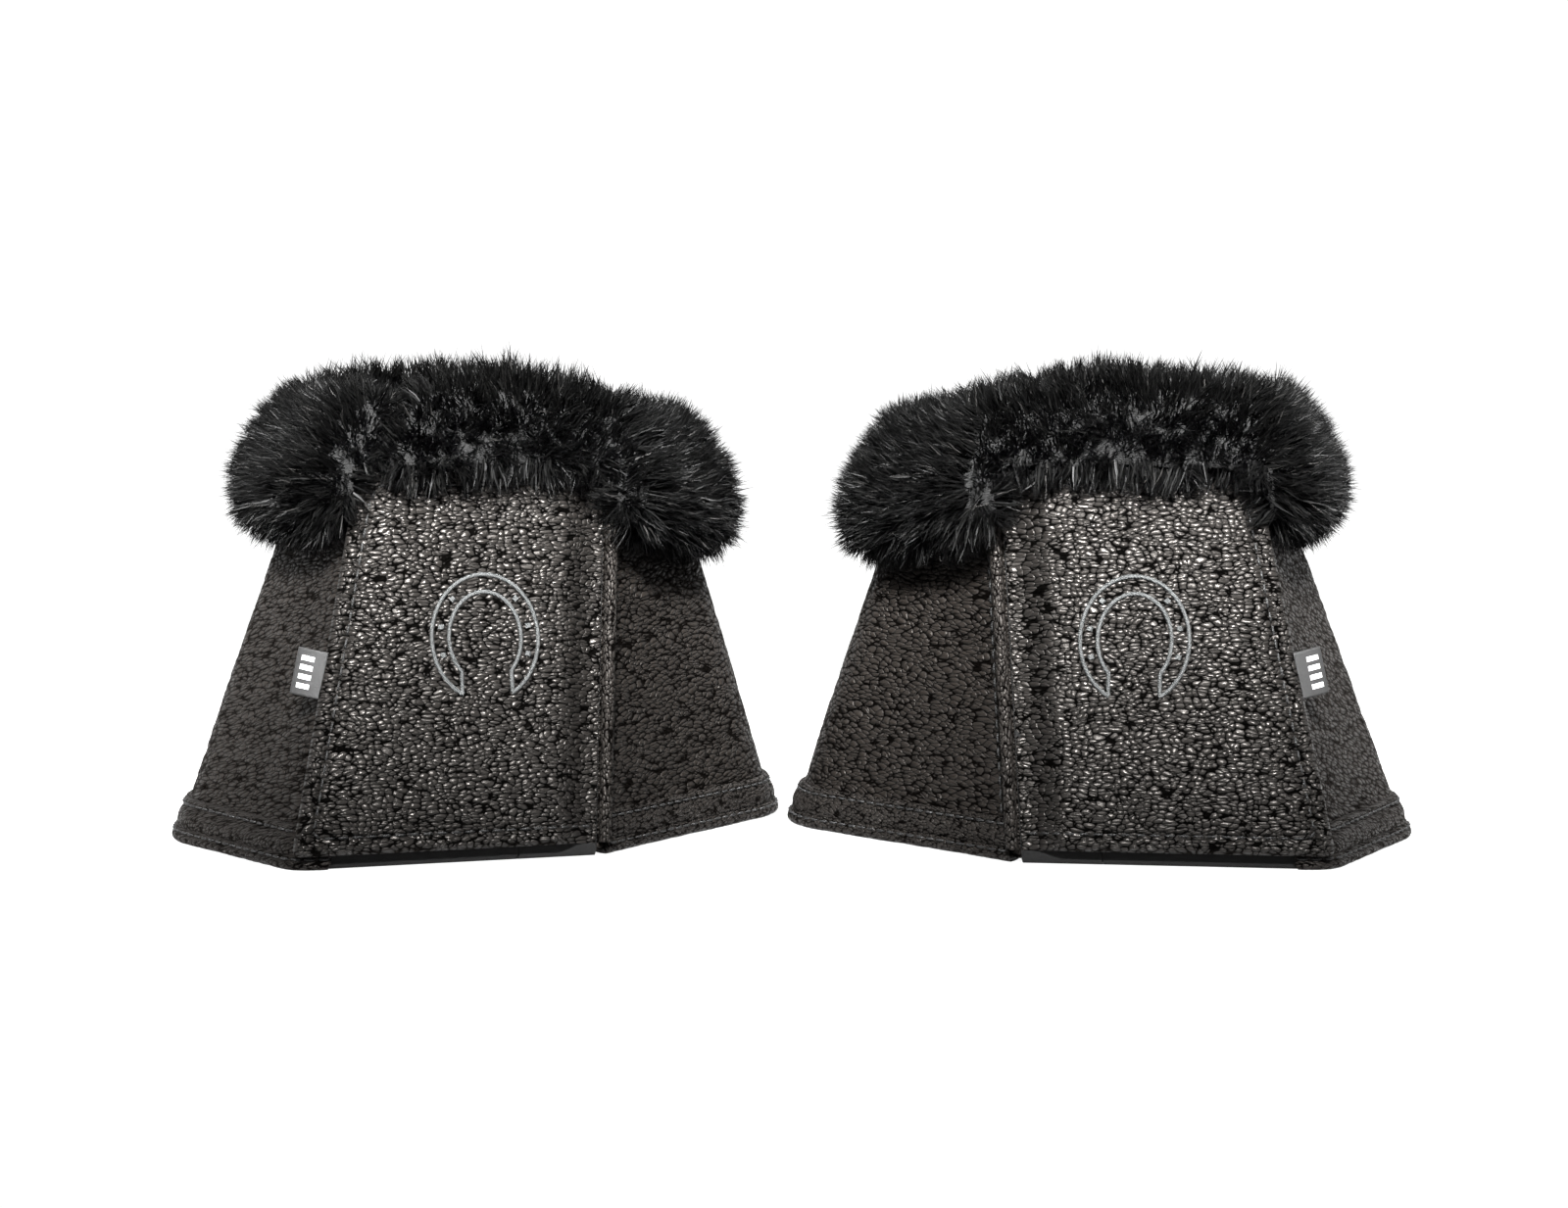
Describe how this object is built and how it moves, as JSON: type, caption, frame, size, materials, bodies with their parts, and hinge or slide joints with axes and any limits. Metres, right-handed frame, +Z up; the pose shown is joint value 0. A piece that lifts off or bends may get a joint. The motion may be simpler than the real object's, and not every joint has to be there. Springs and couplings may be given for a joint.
{
  "type": "bell boots",
  "caption": "Pair of padded hoof bell boots with plush collars, each a leather cone with a hinged front closing flap over a loop panel.",
  "frame": {"origin": "middle of the pair's bounding box, on the plane that the hems stand on", "axes": "+Z up, +X from the left boot to the right boot as seen from the front, -Y towards the front, where the flaps close"},
  "size_m": [0.3406, 0.1589, 0.125],
  "materials": {
    "leather": "satin",
    "foam": "matte",
    "lining": "matte",
    "loop_cloth": "matte",
    "hook_tape": "matte",
    "plush": "matte",
    "thread": "satin",
    "embroidery": "satin",
    "tag_ribbon": "satin"
  },
  "bodies": {
    "left_shell": {"left_rear_leather": "leather", "left_rear_foam": "foam", "left_rear_lining": "lining", "left_rear_hem_band": "leather", "left_rear_hem_binding": "leather", "left_rear_hem_stitching": "thread", "left_rear_collar_fur": "plush", "left_rear_collar_core": "foam", "left_seam_roll": "leather", "left_seam_stitching": "thread", "left_rear_underlap_cloth": "loop_cloth"},
    "left_wrap": {"left_wrap_leather": "leather", "left_wrap_foam": "foam", "left_wrap_lining": "lining", "left_wrap_hem_band": "leather", "left_wrap_hem_binding": "leather", "left_wrap_hem_stitching": "thread", "left_wrap_collar_fur": "plush", "left_wrap_collar_core": "foam", "left_loop_panel": "loop_cloth"},
    "left_flap": {"left_flap_leather": "leather", "left_flap_padding": "foam", "left_flap_backing": "lining", "left_flap_hook_tape": "hook_tape", "left_flap_stitching": "thread", "left_flap_collar_fur": "plush", "left_flap_collar_core": "foam", "left_motif": "embroidery", "left_size_tag": "tag_ribbon"},
    "right_shell": {"right_rear_leather": "leather", "right_rear_foam": "foam", "right_rear_lining": "lining", "right_rear_hem_band": "leather", "right_rear_hem_binding": "leather", "right_rear_hem_stitching": "thread", "right_rear_collar_fur": "plush", "right_rear_collar_core": "foam", "right_seam_roll": "leather", "right_seam_stitching": "thread", "right_rear_underlap_cloth": "loop_cloth"},
    "right_wrap": {"right_wrap_leather": "leather", "right_wrap_foam": "foam", "right_wrap_lining": "lining", "right_wrap_hem_band": "leather", "right_wrap_hem_binding": "leather", "right_wrap_hem_stitching": "thread", "right_wrap_collar_fur": "plush", "right_wrap_collar_core": "foam", "right_loop_panel": "loop_cloth"},
    "right_flap": {"right_flap_leather": "leather", "right_flap_padding": "foam", "right_flap_backing": "lining", "right_flap_hook_tape": "hook_tape", "right_flap_stitching": "thread", "right_flap_collar_fur": "plush", "right_flap_collar_core": "foam", "right_motif": "embroidery", "right_size_tag": "tag_ribbon"}
  },
  "joints": [
    {"name": "left_wrap_open", "type": "hinge", "parent": "left_shell", "child": "left_wrap", "pos_m": [-0.17104, 0.00939, 0.05], "axis": [0, 0, -1], "range_deg": [0, 28.75]},
    {"name": "left_flap_open", "type": "hinge", "parent": "left_shell", "child": "left_flap", "pos_m": [-0.04988, -0.05715, 0], "axis": [0.0151, 0.1879, 0.9821], "range_deg": [0, 115]},
    {"name": "right_wrap_open", "type": "hinge", "parent": "right_shell", "child": "right_wrap", "pos_m": [0.16662, 0.01736, 0.05], "axis": [0, 0, 1], "range_deg": [0, 28.75]},
    {"name": "right_flap_open", "type": "hinge", "parent": "right_shell", "child": "right_flap", "pos_m": [0.05871, -0.06902, 0], "axis": [0.0472, -0.1825, -0.9821], "range_deg": [0, 115]},
    {"name": "boots_apart", "type": "slide", "parent": "left_shell", "child": "right_shell", "axis": [1, 0, 0], "range_m": [0, 0.1]}
  ],
  "couplings": [
    {"joint": "left_flap_open", "follows": "left_wrap_open", "ratio": 4},
    {"joint": "right_flap_open", "follows": "right_wrap_open", "ratio": 4}
  ]
}
